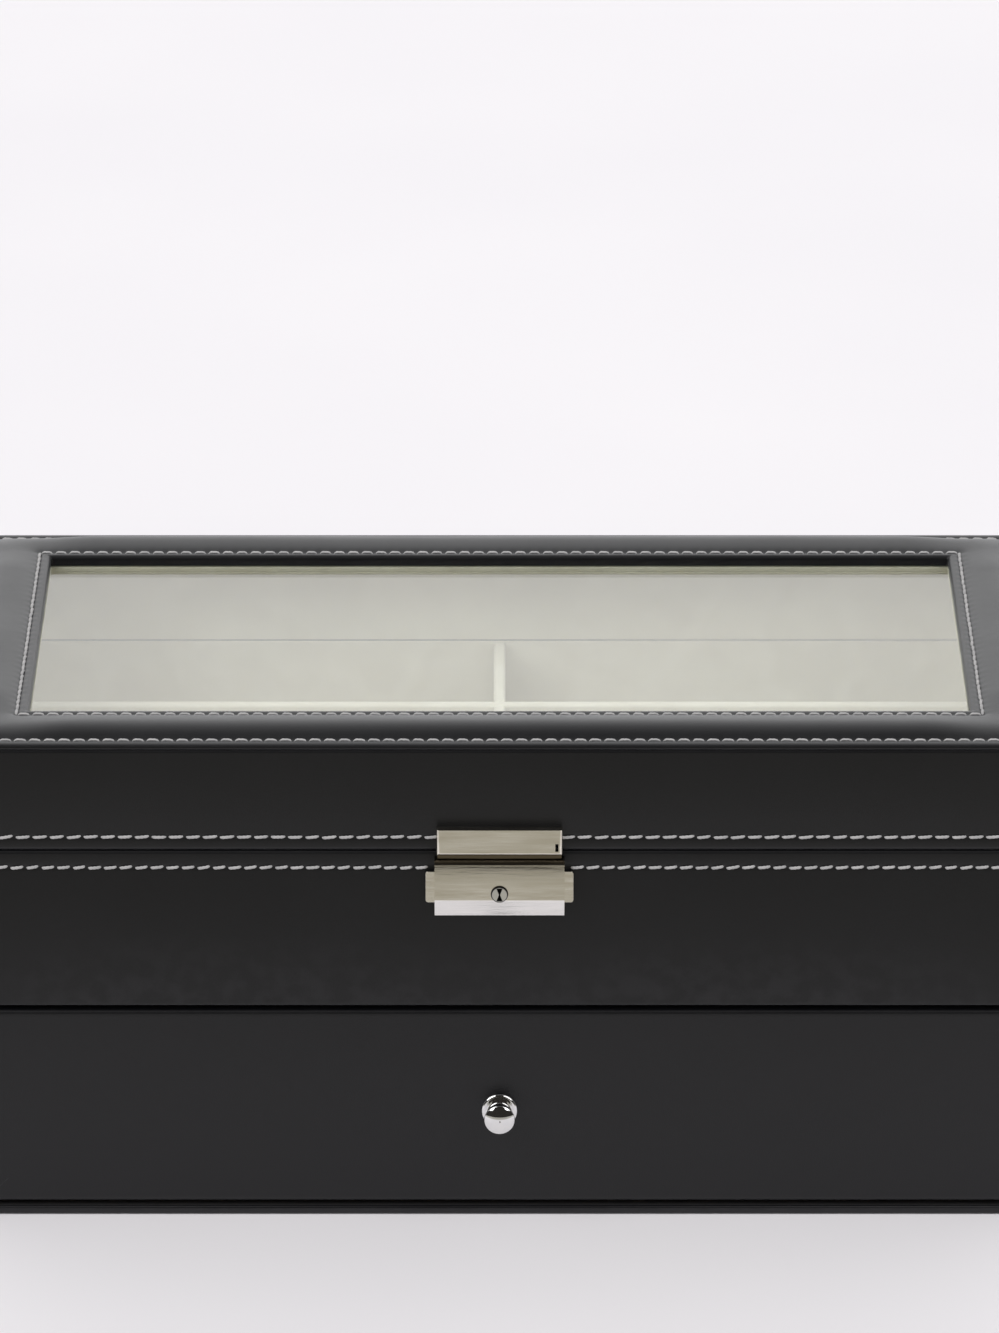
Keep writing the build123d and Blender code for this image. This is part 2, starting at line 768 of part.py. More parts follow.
pieces = {
    "base_felt": felt_blank(),
    "base_board": base_board(),
    "left_side_board": side_board(-1),
    "right_side_board": side_board(1),
    "back_board": back_board(),
    "apron_board": apron_board(),
    "shelf_board": shelf_board(),
    "case_cover": case_cover(),
    "tray_floor_lining": block((-bay_x, bay_x), (-bay_y, bay_y), (shelf_top, tray_floor)),
    "tray_wall_lining": wall_lining(bay_x, (-bay_y, bay_y), tray_walls),
    "tray_long_divider": long_divider(tray_rows, tray_walls),
    "tray_cross_divider_front": cross_divider(tray_front_y, tray_x, tray_walls),
    "tray_cross_divider_rear": cross_divider(tray_rear_y, tray_x, tray_walls),
    "hinge_case_leaf_left": hinge_case_leaf(hinge_xs[0]),
    "hinge_case_leaf_right": hinge_case_leaf(hinge_xs[1]),
    "hinge_pin_left": hinge_pin(hinge_xs[0]),
    "hinge_pin_right": hinge_pin(hinge_xs[1]),
    "hinge_case_screws": hinge_screws(-1),
    "lock_back_plate": lock_back_plate(),
    "lock_housing": lock_housing(),
    "lock_spring": lock_spring(),
    "lock_screws": sunk_screws(lock_screw_xs(), lock_screw_z, housing_depth - 2 * sheet),
    "lid_front_rail": lid_front_rail(),
    "lid_back_rail": lid_back_rail(),
    "lid_left_rail": lid_side_rail(-1),
    "lid_right_rail": lid_side_rail(1),
    "lid_top_board": lid_top_board(),
    "lid_foam_pad": padded_frame(leather),
    "lid_top_cover": padded_frame(0.0) - padded_frame(leather),
    "lid_side_cover": lid_side_cover(),
    "window_pane": window_pane(),
    "window_retainer": window_retainer(),
    "lid_lining": lid_lining(),
    "hinge_lid_leaf_left": hinge_lid_leaf(hinge_xs[0]),
    "hinge_lid_leaf_right": hinge_lid_leaf(hinge_xs[1]),
    "hinge_lid_screws": hinge_screws(1),
    "hasp_plate": hasp_plate(),
    "hasp_screws": sunk_screws(hasp_screw_xs(), hasp_z, tongue_back - sheet / 2),
    "lock_slider": lock_slider(),
    "key_cylinder": key_cylinder(),
    "lock_cam": lock_cam(),
    "drawer_front_board": drawer_front_board(),
    "drawer_front_cover": drawer_front_cover(),
    "drawer_left_side": drawer_side(-1),
    "drawer_right_side": drawer_side(1),
    "drawer_back_wall": drawer_back_wall(),
    "drawer_bottom": drawer_bottom(),
    "drawer_floor_lining": drawer_floor_lining(),
    "drawer_wall_lining": wall_lining(drawer_inner_x, drawer_inside, (drawer_floor, drawer_wall_top)),
    "drawer_long_divider": long_divider(drawer_rows, drawer_walls),
    "drawer_cross_divider_front": cross_divider(drawer_front_y, drawer_row_x, drawer_walls),
    "drawer_cross_divider_rear": cross_divider(drawer_rear_y, drawer_row_x, drawer_walls),
    "knob": knob(),
    "knob_rosette": knob_rosette(),
    "knob_washer": knob_washer(),
    "knob_screw": knob_screw(),
}

os.makedirs("parts", exist_ok=True)
for name, piece in pieces.items():
    export_step(piece, f"parts/{name}.step")
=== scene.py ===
# %% [markdown]
# # Dressing a lidded box for sunglasses
#
# The box is a tray under a window, with a drawer below it, all wrapped in black leatherette. Its solids
# come ready made from a CAD model: boards, wrap, padding, lock, hinges and drawer, each at its real size
# and in its place. A solid model knows where things are, but not what they are made of or how they are
# sewn. This lesson adds that: the padded and stitched frame, rows of real stitches, turned-over edges,
# velvet, felt, satin nickel and glass.

import math

import bmesh
import bpy
import numpy as np
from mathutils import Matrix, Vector


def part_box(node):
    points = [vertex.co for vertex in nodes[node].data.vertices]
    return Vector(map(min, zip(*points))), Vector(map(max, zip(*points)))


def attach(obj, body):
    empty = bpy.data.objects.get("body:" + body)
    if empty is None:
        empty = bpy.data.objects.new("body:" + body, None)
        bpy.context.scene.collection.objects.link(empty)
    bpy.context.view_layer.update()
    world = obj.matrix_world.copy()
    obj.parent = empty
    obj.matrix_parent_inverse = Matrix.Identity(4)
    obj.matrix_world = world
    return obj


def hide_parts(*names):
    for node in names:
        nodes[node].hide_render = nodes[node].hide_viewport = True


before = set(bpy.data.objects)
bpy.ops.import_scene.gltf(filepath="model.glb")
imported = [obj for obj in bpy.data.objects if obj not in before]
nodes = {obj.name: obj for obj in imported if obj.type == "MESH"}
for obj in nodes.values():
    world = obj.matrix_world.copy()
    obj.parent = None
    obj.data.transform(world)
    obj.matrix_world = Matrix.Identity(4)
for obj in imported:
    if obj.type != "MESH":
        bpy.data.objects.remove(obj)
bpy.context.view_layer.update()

# %% [markdown]
# ## The sizes that the new pieces share with the solids
#
# Blender works in metres here, but a box maker thinks in millimetres, so every size below is in
# millimetres and is turned into metres in one place only, where a mesh is made. The sizes are the
# solids' own: a new piece stays exactly where the solid is that it stands for.

# %% Sizes in millimetres
MM = 0.001
half_width, half_depth = 180.0, 103.0
case_height, lid_low, seam = 127.45, 127.55, 162.0  # the wrap puffs out a hair where lid and case meet
leather, wall = 0.8, 9.8  # the wrap alone, and a board with its wrap
bay_x, bay_y = half_width - wall, half_depth - wall  # inner faces of the side boards and the back board
corner_radius, edge_radius = 2.0, 1.2  # upright corners, and edges that are turned over
turned_in = 15.0  # how far the wrap reaches in under the base and into the drawer's bay
base_top, apron_low = 3.0, 73.6  # lowest and highest edge of the drawer's opening
case_row, lid_row = 121.7, 132.2  # heights of the two rows of stitches round the sides
outer_row, window_row = 4.8, 24.0  # the rows on top, as distances from the outer edge
outer_rise, window_rise = 1.42, 3.22  # and as heights above the seam
top_counts = {outer_row: (74, 42), window_row: (66, 34)}  # their stitches along X and along Y
print("outside of the box:", 2 * half_width, "x", 2 * half_depth, "mm")

# %% [markdown]
# ## The camera
#
# The picture was taken from the front and a little above, with a long lens, so the box shows hardly any
# perspective. The picture is upright, 999 by 1333, and Blender measures the sensor along the longer side.
# That turns the lens's length in pixels into one in millimetres.

# %% Place the camera
sensor = 36.0
picture_height = 1333
lens_in_pixels = 8854
pitch = math.radians(20)
metres_ahead, metres_up = 2.7600, 1.1576
camera_data = bpy.data.cameras.new("camera")
camera_data.sensor_width = sensor
camera_data.lens = sensor * lens_in_pixels / picture_height
camera_data.clip_end = 50
camera = bpy.data.objects.new("camera", camera_data)
camera.location = (0, -metres_ahead, metres_up)
camera.rotation_euler = (math.radians(90) - pitch, 0, 0)
bpy.context.scene.collection.objects.link(camera)
bpy.context.scene.camera = camera
bpy.context.scene.view_settings.view_transform = "Standard"
print("lens:", round(camera_data.lens, 1), "mm")

# %% [markdown]
# ## Node groups: one effect, used by many finishes
#
# Grain, patches of colour, worn edges and pile turn up in several finishes. Each is built once as a node
# group with named inputs, and every finish places it with its own values. A group only puts out values
# that change over the surface. The shader itself stays in the material.

# %% A helper that starts a node group
def start_group(name, inputs, outputs):
    """A new shader node group with number inputs (name, default) and number outputs."""
    group = bpy.data.node_groups.new(name, "ShaderNodeTree")
    for label, default in inputs:
        socket = group.interface.new_socket(label, in_out="INPUT", socket_type="NodeSocketFloat")
        socket.default_value = default
    for label in outputs:
        group.interface.new_socket(label, in_out="OUTPUT", socket_type="NodeSocketFloat")
    return group, group.nodes.new("NodeGroupInput").outputs, group.nodes.new("NodeGroupOutput").inputs


def put(tree, kind, links=None, **settings):
    """Adds a node, sets its properties, and links or sets its inputs by name or number."""
    node = tree.nodes.new(kind)
    for key, value in settings.items():
        setattr(node, key, value)
    for key, value in (links or {}).items():
        if isinstance(value, bpy.types.NodeSocket):
            tree.links.new(value, node.inputs[key])
        else:
            node.inputs[key].default_value = value
    return node


def calculate(tree, operation, first, second=0.0, third=0.0):
    """One step of arithmetic."""
    steps = {0: first, 1: second, 2: third}
    return put(tree, "ShaderNodeMath", steps, operation=operation).outputs[0]


def place(tree):
    """Where the shaded point is on the piece, in metres, moving with the piece."""
    return put(tree, "ShaderNodeTexCoord").outputs["Object"]


def coordinate(tree, axis):
    """One coordinate of that place."""
    return put(tree, "ShaderNodeSeparateXYZ", {0: place(tree)}).outputs[axis]


def per_metre(tree, size):
    """How often a size in millimetres fits into a metre, which is the scale that a texture wants."""
    return calculate(tree, "DIVIDE", 1 / MM, size)


def ramp(tree, value, start, full):
    """0 before start and 1 after full; start may be the larger one."""
    return put(tree, "ShaderNodeMapRange", {"Value": value, "From Min": start, "From Max": full}).outputs[0]


print("helpers ready")

# %% [markdown]
# Leatherette is embossed with a leather grain: small pebbles parted by fine creases. A Voronoi texture
# gives cells, and the distance to a cell's edge is a height that is low in the creases and flat on the
# pebbles. A little noise bends the cells, so that no straight crease shows.

# %% Group: pebbled grain
pebbles, given, result = start_group("pebbled grain", [("Size mm", 0.8), ("Crease", 0.2)], ["Height"])
scale = per_metre(pebbles, given["Size mm"])
point = place(pebbles)
bending = 0.6 * MM
bend = put(pebbles, "ShaderNodeTexNoise", {"Vector": point, "Scale": scale, "Detail": 1.0})
shift = put(pebbles, "ShaderNodeVectorMath", {0: bend.outputs["Color"], 1: (bending,) * 3},
            operation="MULTIPLY")
bent = put(pebbles, "ShaderNodeVectorMath", {0: point, 1: shift.outputs[0]}, operation="ADD")
cells = put(pebbles, "ShaderNodeTexVoronoi", {"Vector": bent.outputs[0], "Scale": scale},
            feature="DISTANCE_TO_EDGE")
step = put(pebbles, "ShaderNodeMapRange", {"Value": cells.outputs["Distance"], "From Max": given["Crease"]},
           interpolation_type="SMOOTHSTEP")
pebbles.links.new(step.outputs[0], result["Height"])
print("group:", pebbles.name)

# %% [markdown]
# Nothing is the same all over. Soft patches, a hand's breadth or a few millimetres across, shift the
# colour and the gloss a little.

# %% Group: patches
patches, given, result = start_group("patches", [("Size mm", 30.0), ("Detail", 3.0)], ["Value"])
scale = per_metre(patches, given["Size mm"])
cloud = put(patches, "ShaderNodeTexNoise",
            {"Vector": place(patches), "Scale": scale, "Detail": given["Detail"], "Roughness": 0.55})
patches.links.new(ramp(patches, cloud.outputs[0], 0.3, 0.7), result["Value"])
print("group:", patches.name)

# %% [markdown]
# Edges wear first. Cycles knows how pointed a surface is at each point, and noise breaks the wear up, so
# that it comes and goes along an edge.

# %% Group: worn edges
worn, given, result = start_group("worn edges", [("Start", 0.52), ("Full", 0.62), ("Size mm", 6.0)], ["Mask"])
pointed = put(worn, "ShaderNodeNewGeometry").outputs["Pointiness"]
edges = ramp(worn, pointed, given["Start"], given["Full"])
scale = per_metre(worn, given["Size mm"])
rub = put(worn, "ShaderNodeTexNoise", {"Vector": place(worn), "Scale": scale, "Detail": 4.0})
broken = ramp(worn, rub.outputs[0], 0.42, 0.62)
worn.links.new(calculate(worn, "MULTIPLY", edges, broken), result["Mask"])
print("group:", worn.name)

# %% [markdown]
# Satin metal is brushed: the fine scratches all run one way. Noise that is stretched along X, sixty times
# longer than wide, gives such lines.

# %% Group: brushed lines
brushed, given, result = start_group("brushed lines", [("Width mm", 0.12), ("Length", 60.0)], ["Height"])
scale = per_metre(brushed, given["Width mm"])
squeeze = put(brushed, "ShaderNodeCombineXYZ", {"X": calculate(brushed, "DIVIDE", 1.0, given["Length"]),
                                                "Y": 1.0, "Z": 1.0})
drawn = put(brushed, "ShaderNodeVectorMath", {0: place(brushed), 1: squeeze.outputs[0]},
            operation="MULTIPLY")
lines = put(brushed, "ShaderNodeTexNoise", {"Vector": drawn.outputs[0], "Scale": scale, "Detail": 3.0})
brushed.links.new(lines.outputs[0], result["Height"])
print("group:", brushed.name)

# %% [markdown]
# Velvet, felt and thread are fibres. Close up they are a fine, uneven pile, and a coarser noise on top of
# it shows where the pile was stroked one way or the other.

# %% Group: pile
pile, given, result = start_group("pile", [("Fibre mm", 0.3), ("Stroke mm", 14.0)], ["Height", "Stroke"])
scale = per_metre(pile, given["Fibre mm"])
tips = put(pile, "ShaderNodeTexNoise", {"Vector": place(pile), "Scale": scale, "Detail": 4.0,
                                        "Roughness": 0.7})
scale = per_metre(pile, given["Stroke mm"])
swept = put(pile, "ShaderNodeTexNoise", {"Vector": place(pile), "Scale": scale, "Detail": 5.0,
                                         "Distortion": 0.6})
pile.links.new(tips.outputs[0], result["Height"])
pile.links.new(ramp(pile, swept.outputs[0], 0.35, 0.65), result["Stroke"])
print("group:", pile.name)

# %% [markdown]
# ## Finishes
#
# A finish starts from a Principled shader. Values that are the same all over are set on its own sockets,
# and the groups drive only what changes over the surface. Colours are written as screen values from 0 to
# 255, as a paint chart gives them, and turned into the linear values that Blender mixes with.

# %% Helpers for finishes
def linear(*screen):
    """Screen values 0 to 255 as a linear colour."""
    shares = [value / 255 for value in screen]
    return tuple(s / 12.92 if s <= 0.04045 else ((s + 0.055) / 1.055) ** 2.4 for s in shares) + (1.0,)


def finish(name, **constants):
    """A new material with constants on its shader; gives the material, its tree and the shader."""
    made = bpy.data.materials.new(name)
    made.use_nodes = True
    shader = made.node_tree.nodes["Principled BSDF"]
    for key, value in constants.items():
        shader.inputs[key.replace("_", " ")].default_value = value
    return made, made.node_tree, shader


def group(tree, which, **values):
    """Places a node group with its own values."""
    links = {key.replace("_", " "): value for key, value in values.items()}
    return put(tree, "ShaderNodeGroup", links, node_tree=which).outputs


def between(tree, share, first, second):
    """A colour between two, by a value from 0 to 1."""
    mix = put(tree, "ShaderNodeMix", {0: share}, data_type="RGBA")
    for socket, value in ((mix.inputs[6], first), (mix.inputs[7], second)):
        if isinstance(value, bpy.types.NodeSocket):
            tree.links.new(value, socket)
        else:
            socket.default_value = value
    return mix.outputs[2]


def span(tree, value, low, high):
    """A value from 0 to 1 spread from low to high."""
    return put(tree, "ShaderNodeMapRange", {"Value": value, "To Min": low, "To Max": high}).outputs[0]


def raise_surface(tree, shader, *layers):
    """Bumps, coarse ones first, each given as (height, depth in mm)."""
    normal = None
    for height, depth in layers:
        links = {"Height": height, "Distance": depth * MM, "Strength": 1.0}
        if normal is not None:
            links["Normal"] = normal
        normal = put(tree, "ShaderNodeBump", links).outputs[0]
    tree.links.new(normal, shader.inputs["Normal"])


print("a mid grey, 119 on screen, is", round(linear(119)[0], 3), "in linear light")

# %% [markdown]
# **Leatherette** is a thin plastic skin on cloth: nearly black, with a soft gloss that shows only at a
# flat angle, where the top of the box turns grey. The gloss is what makes black leatherette readable, so
# its roughness gets the most care: it changes a little from patch to patch, and where edges are rubbed.

# %% Finish: black leatherette
leatherette, tree, shader = finish("black leatherette", IOR=1.48, Sheen_Weight=0.3, Sheen_Roughness=0.25)
shader.inputs["Sheen Tint"].default_value = linear(236, 238, 242)
cloud = group(tree, patches, Size_mm=45.0)["Value"]
rubbed = group(tree, worn, Start=0.56, Full=0.7)["Mask"]
base = between(tree, cloud, linear(4, 4, 8), linear(7, 7, 11))
tree.links.new(between(tree, rubbed, base, linear(46, 45, 48)), shader.inputs["Base Color"])
fine = group(tree, patches, Size_mm=3.0)["Value"]
gloss = calculate(tree, "ADD", span(tree, cloud, 0.37, 0.41), span(tree, fine, 0.0, 0.02))
tree.links.new(calculate(tree, "ADD", gloss, span(tree, rubbed, 0.0, 0.14)), shader.inputs["Roughness"])
raise_surface(tree, shader, (group(tree, patches, Size_mm=22.0, Detail=1.0)["Value"], 0.05),
              (group(tree, pebbles, Size_mm=0.85)["Height"], 0.010))
print("finish:", leatherette.name)

# %% [markdown]
# **Velvet** lines everything that a lens may touch. Its sheen is bright at a flat angle, and stroked
# patches are a shade lighter or darker.

# %% Finish: cream velvet
velvet, tree, shader = finish("cream velvet", Roughness=0.95, Sheen_Weight=0.9, Sheen_Roughness=0.35)
shader.inputs["Sheen Tint"].default_value = linear(250, 246, 232)
fibres = group(tree, pile, Fibre_mm=0.25, Stroke_mm=18.0)
cream = between(tree, fibres["Stroke"], linear(215, 210, 191), linear(225, 221, 204))
tree.links.new(between(tree, span(tree, fibres["Height"], 0.0, 0.22), cream, linear(178, 170, 147)),
               shader.inputs["Base Color"])
raise_surface(tree, shader, (fibres["Stroke"], 0.05), (fibres["Height"], 0.05))
print("finish:", velvet.name)

# %% [markdown]
# **Felt** under the base is the same idea in black, with longer fibres and no sheen to speak of.

# %% Finish: black felt
felt, tree, shader = finish("black felt", Roughness=0.98, Sheen_Weight=0.15, Sheen_Roughness=0.7)
fibres = group(tree, pile, Fibre_mm=0.5, Stroke_mm=9.0)
dark = between(tree, fibres["Stroke"], linear(28, 28, 29), linear(38, 38, 39))
tree.links.new(between(tree, span(tree, fibres["Height"], 0.0, 0.5), dark, linear(70, 69, 68)),
               shader.inputs["Base Color"])
raise_surface(tree, shader, (fibres["Height"], 0.2))
print("finish:", felt.name)

# %% [markdown]
# **Fibreboard** carries it all. It shows only where the wrap ends: in the drawer's bay and on the
# drawer's box. Pressed fibres give it short speckles.

# %% Finish: fibreboard
fibreboard, tree, shader = finish("fibreboard", Roughness=0.8)
speckle = group(tree, pile, Fibre_mm=0.7, Stroke_mm=30.0)
tan = between(tree, speckle["Stroke"], linear(163, 137, 105), linear(176, 150, 117))
tree.links.new(between(tree, span(tree, speckle["Height"], 0.0, 0.6), tan, linear(121, 96, 68)),
               shader.inputs["Base Color"])
raise_surface(tree, shader, (speckle["Height"], 0.06))
print("finish:", fibreboard.name)

# %% [markdown]
# Under the drawer a slit shows a little of the base board, which lies in shade there. That shade is
# painted into the board's colour: dark grey from the front to 43 mm in, so that no pale board shines
# through the slit. Noise makes the edge of the painted shade ragged.

# %% Finish: fibreboard with painted shade at the front
shaded_board, tree, shader = finish("fibreboard shaded dark at the front", Roughness=0.8)
speckle = group(tree, pile, Fibre_mm=0.7, Stroke_mm=30.0)
tan = between(tree, speckle["Stroke"], linear(163, 137, 105), linear(176, 150, 117))
# painted shade: the board's colour turns dark grey towards the front, where the drawer's slit lies in shade
shade_end, shade_blend, ragged_by = 43.0 - half_depth, 2.0, 4.0
ragged = calculate(tree, "MULTIPLY", group(tree, patches, Size_mm=5.0)["Value"], ragged_by * MM)
depth = calculate(tree, "ADD", coordinate(tree, "Y"), ragged)
shade_mask = ramp(tree, depth, (shade_end + shade_blend) * MM, shade_end * MM)
tree.links.new(between(tree, shade_mask, tan, linear(56, 55, 56)), shader.inputs["Base Color"])
tree.links.new(span(tree, shade_mask, 0.8, 0.5), shader.inputs["Roughness"])
raise_surface(tree, shader, (speckle["Height"], 0.05))
print("finish:", shaded_board.name)

# %% [markdown]
# **Thread** is two plies twisted together. The twist itself is modelled in every stitch further down, so
# the finish only adds the fibres.

# %% Finish: pale thread
thread, tree, shader = finish("pale grey thread", Roughness=0.7, Sheen_Weight=0.2)
fibres = group(tree, pile, Fibre_mm=0.12, Stroke_mm=4.0)
grey = between(tree, fibres["Stroke"], linear(172, 171, 171), linear(192, 190, 189))
tree.links.new(between(tree, span(tree, fibres["Height"], 0.0, 0.5), grey, linear(118, 116, 116)),
               shader.inputs["Base Color"])
raise_surface(tree, shader, (fibres["Height"], 0.03))
print("finish:", thread.name)

# %% [markdown]
# ** Satin nickel** is warmer than steel. It is brushed from left to right, and a few broader waves drift
# through the brushing, as on thin sheet that was polished on a wheel. The waves are a bump of some
# hundredths of a millimetre: they bend what the metal mirrors, and that is what the eye reads as sheet
# metal. Faces that look down, such as the lip at the foot of the housing, get a near white colour: a painted
# highlight for the pale floor that they mirror. The housing's face is bowed a little, and its upper edge and
# the hasp's skirt are darkened where the two meet: painted shade. **Steel** screws and pins are brushed
# too, in a cooler grey. **Chrome** is polished, with only faint smears, and on the key's cylinder the keyhole
# and a ring at its rim are darkened and dulled: painted shade in the hole and round its edge.

# %% Finishes: the metals
bow_height, bow_depth = 8.0, 0.8


def brushed_metal(name, dark, light, smooth, rough, waves, bowed_top=None, shaded_band=None):
    """A brushed metal between two colours and two roughnesses, with waves of a depth in mm. Below bowed_top,
    a height in mm, the sheet leans back a little towards its upper edge. From the first height of shaded_band
    to the second its colour darkens, as painted shade."""
    made, tree, shader = finish(name, Metallic=1.0)
    fine = group(tree, brushed, Width_mm=0.12)["Height"]
    broad = group(tree, brushed, Width_mm=1.6, Length=9.0)["Height"]
    both = calculate(tree, "MULTIPLY_ADD", fine, 0.35, calculate(tree, "MULTIPLY", broad, 0.65))
    bands = ramp(tree, both, 0.35, 0.65)
    facing = put(tree, "ShaderNodeSeparateXYZ", {0: put(tree, "ShaderNodeNewGeometry").outputs["Normal"]})
    # painted highlight: faces that look down get a near white colour, for the bright floor that they mirror
    down_facing_highlight = ramp(tree, facing.outputs["Z"], -0.2, -0.5)
    colour = between(tree, bands, dark, light)
    height = coordinate(tree, "Z")
    # painted shade: across a band of heights the colour darkens, where lid and case meet
    if shaded_band:
        start, full = (value * MM for value in shaded_band)
        colour = between(tree, ramp(tree, height, start, full), colour, linear(108, 98, 82))
    tree.links.new(between(tree, down_facing_highlight, colour, linear(252, 250, 247)), shader.inputs["Base Color"])
    tree.links.new(span(tree, bands, smooth, rough), shader.inputs["Roughness"])
    layers = [(broad, waves), (fine, 0.003)]
    if bowed_top:
        lean = ramp(tree, height, (bowed_top - bow_height) * MM, bowed_top * MM)
        bow = calculate(tree, "MULTIPLY", calculate(tree, "POWER", lean, 2.0), -1.0)
        layers.insert(0, (bow, bow_depth))
    raise_surface(tree, shader, *layers)
    return made


def polished(name):
    """Chrome with faint smears."""
    made, tree, shader = finish(name, Metallic=1.0)
    smear = group(tree, patches, Size_mm=4.0, Detail=5.0)["Value"]
    colour = between(tree, smear, linear(230, 230, 231), linear(238, 237, 236))
    tree.links.new(colour, shader.inputs["Base Color"])
    tree.links.new(span(tree, smear, 0.03, 0.075), shader.inputs["Roughness"])
    return made, tree, shader, colour


satin = (linear(222, 216, 202), linear(240, 235, 224), 0.18, 0.27, 0.06)
nickel = brushed_metal("satin nickel", *satin)
housing_nickel = brushed_metal("satin nickel of the housing", *satin, bowed_top=124.0, shaded_band=(123.9, 124.8))
hasp_nickel = brushed_metal("satin nickel of the hasp", *satin, shaded_band=(127.5, 127.1))
steel = brushed_metal("zinc plated steel", linear(176, 178, 180), linear(200, 201, 201), 0.24, 0.4, 0.01)
chrome = polished("polished chrome")[0]
lock_chrome, tree, shader, colour = polished("chrome with a shaded keyhole")
key_front, key_height, key_radius = -half_depth - 5.8, 114.4, 2.75
# painted shade: the chrome is darkened and dulled down the keyhole and in a ring at its rim
down_hole = ramp(tree, coordinate(tree, "Y"), (key_front + 0.3) * MM, (key_front + 0.7) * MM)
flat = put(tree, "ShaderNodeVectorMath", {0: place(tree), 1: (1.0, 0.0, 1.0)}, operation="MULTIPLY")
from_axis = put(tree, "ShaderNodeVectorMath", {0: flat.outputs[0], 1: (0.0, 0.0, key_height * MM)},
                operation="DISTANCE")
at_rim = ramp(tree, from_axis.outputs["Value"], (key_radius - 0.5) * MM, (key_radius - 0.2) * MM)
keyhole_shade = calculate(tree, "MAXIMUM", down_hole, at_rim)
tree.links.new(between(tree, keyhole_shade, colour, linear(24, 20, 17)), shader.inputs["Base Color"])
tree.links.new(span(tree, keyhole_shade, 0.05, 0.6), shader.inputs["Roughness"])
print("finishes:", nickel.name, steel.name, chrome.name, lock_chrome.name)

# %% [markdown]
# **Glass** lets lamps through. Cycles would otherwise leave the tray in the dark, because it doesn't
# follow light that a pane bends, so a ray that looks for a lamp passes straight on. It loses a fifth of
# its light on the way: the pane's two faces mirror some of it back, and smears take the rest.

# %% Finish: float glass
glass, tree, shader = finish("float glass", Transmission_Weight=1.0, IOR=1.5)
wiped = group(tree, patches, Size_mm=60.0, Detail=6.0)["Value"]
tree.links.new(span(tree, wiped, 0.0, 0.03), shader.inputs["Roughness"])
tint = between(tree, wiped, linear(249, 251, 250), linear(254, 255, 254))
tree.links.new(tint, shader.inputs["Base Color"])
clear = put(tree, "ShaderNodeBsdfTransparent", {"Color": linear(232, 235, 234)})
lamp_ray = put(tree, "ShaderNodeLightPath").outputs["Is Shadow Ray"]
passing = put(tree, "ShaderNodeMixShader", {0: lamp_ray, 1: shader.outputs[0], 2: clear.outputs[0]})
tree.links.new(passing.outputs[0], tree.nodes["Material Output"].inputs["Surface"])
print("finish:", glass.name)

# %% [markdown]
# ## Meshes from rings
#
# Most of this box is one outline carried round its four sides: a rounded rectangle. A ring of points
# round that rectangle, taken further in or out and higher or lower, gives the next ring, and quads join
# them. The wrap, the padded frame and the drawer's front are all made this way, so that their edges can
# be turned over with a true radius, which a plain solid doesn't have.

# %% Helpers for ringed meshes
def rounded_ring(half_u, half_v, corner, cuts_u, cuts_v, cuts_corner=4):
    """Points round a rectangle with rounded corners, from the near left corner anticlockwise. cuts_u and
    cuts_v are the shares, from -1 to 1, at which the straight sides are cut."""
    rows = []
    for turn in range(4):
        along, cuts = ((half_u, cuts_u), (half_v, cuts_v))[turn % 2]
        away = (half_v, half_u)[turn % 2]
        straight = np.array(cuts) * (along - corner)
        side = np.stack([straight, np.full(len(cuts), -away)], 1)
        angles = np.linspace(0, math.pi / 2, cuts_corner + 2)[1:-1]
        centre = np.array([along - corner, corner - away])
        arc = centre + corner * np.stack([np.sin(angles), -np.cos(angles)], 1)
        quarter = math.pi / 2 * turn
        spin = np.array([[math.cos(quarter), math.sin(quarter)], [-math.sin(quarter), math.cos(quarter)]])
        rows.append(np.concatenate([side, arc]) @ spin)
    return np.concatenate(rows)


def join_rings(rings, closed):
    """Quads between neighbouring rings, as corner numbers; closed joins the last ring to the first."""
    count, points = rings.shape[:2]
    number = np.arange(count * points).reshape(count, points)
    low = number if closed else number[:-1]
    high = np.roll(number, -1, axis=0) if closed else number[1:]
    quads = np.stack([low, np.roll(low, -1, axis=1), np.roll(high, -1, axis=1), high], -1)
    return quads.reshape(-1, 4)


def close_ring(count, along):
    """Faces that close a ring of so many points: strips between its two long sides, and its two ends."""
    side = count // 2  # a long side, a corner, a short side and a corner
    top = [side + along - 1 - i for i in range(along)]
    strips = [[i, i + 1, top[i + 1], top[i]] for i in range(along - 1)]
    right = list(range(along - 1, side + 1))
    left = list(range(side + along - 1, count)) + [0]
    return strips + [right, left]


def add_piece(name, corners, faces, material, body, stands_for=()):
    """Makes an object from corners in millimetres, hangs it on its body, and hides the solids it stands for.
    """
    mesh = bpy.data.meshes.new(name)
    mesh.from_pydata((np.asarray(corners).reshape(-1, 3) * MM).tolist(), [], [list(f) for f in faces])
    tidy = bmesh.new()
    tidy.from_mesh(mesh)
    bmesh.ops.recalc_face_normals(tidy, faces=tidy.faces)
    tidy.to_mesh(mesh)
    tidy.free()
    return add_mesh(name, mesh, material, body, stands_for)


def add_mesh(name, mesh, material, body, stands_for=()):
    """The same from a finished mesh."""
    piece = bpy.data.objects.new(name, mesh)
    bpy.context.scene.collection.objects.link(piece)
    mesh.materials.append(material)
    mesh.shade_smooth()
    mesh.set_sharp_from_angle(angle=math.radians(50))
    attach(piece, body)
    if stands_for:
        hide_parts(*stands_for)
    print(f"{name}: {len(mesh.vertices)} points, {len(mesh.polygons)} faces")
    return piece


# %% [markdown]
# ## The lid's side strip and the wrap of the case
#
# Both are one section carried round the box. A section goes over the turned edge, down the face, through
# the shallow furrow that the stitches pull into the leatherette, round the lower edge and back up inside,
# so the strip has its real thickness. Furrow and turned edges are in the section itself.

# %% The lid's side strip
furrow_depth = 0.22


